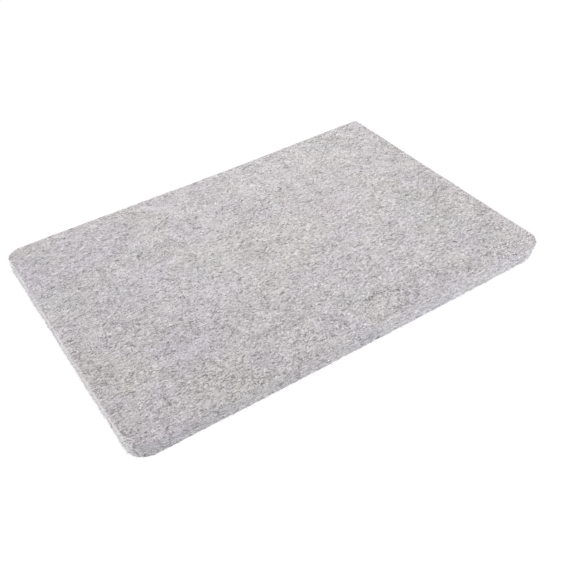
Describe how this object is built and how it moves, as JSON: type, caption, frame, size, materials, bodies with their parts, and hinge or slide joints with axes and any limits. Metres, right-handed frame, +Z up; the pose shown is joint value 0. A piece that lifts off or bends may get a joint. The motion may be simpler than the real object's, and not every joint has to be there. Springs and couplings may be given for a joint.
{
  "type": "ironing pad",
  "caption": "Flat rectangular pressing pad of heathered grey wool felt with rounded corners and soft cut edges, laid on a table to iron or press cloth on.",
  "frame": {"origin": "middle of the underside, on the table that the pad lies on", "axes": "+X along the long side, +Y from the front side to the back side, +Z up through the thickness"},
  "size_m": [0.35, 0.24, 0.0127],
  "materials": {
    "wool_felt": "matte pressed wool felt, heathered light grey"
  },
  "bodies": {
    "root": {"lower_felt_ply": "wool_felt", "upper_felt_ply": "wool_felt"}
  },
  "joints": []
}
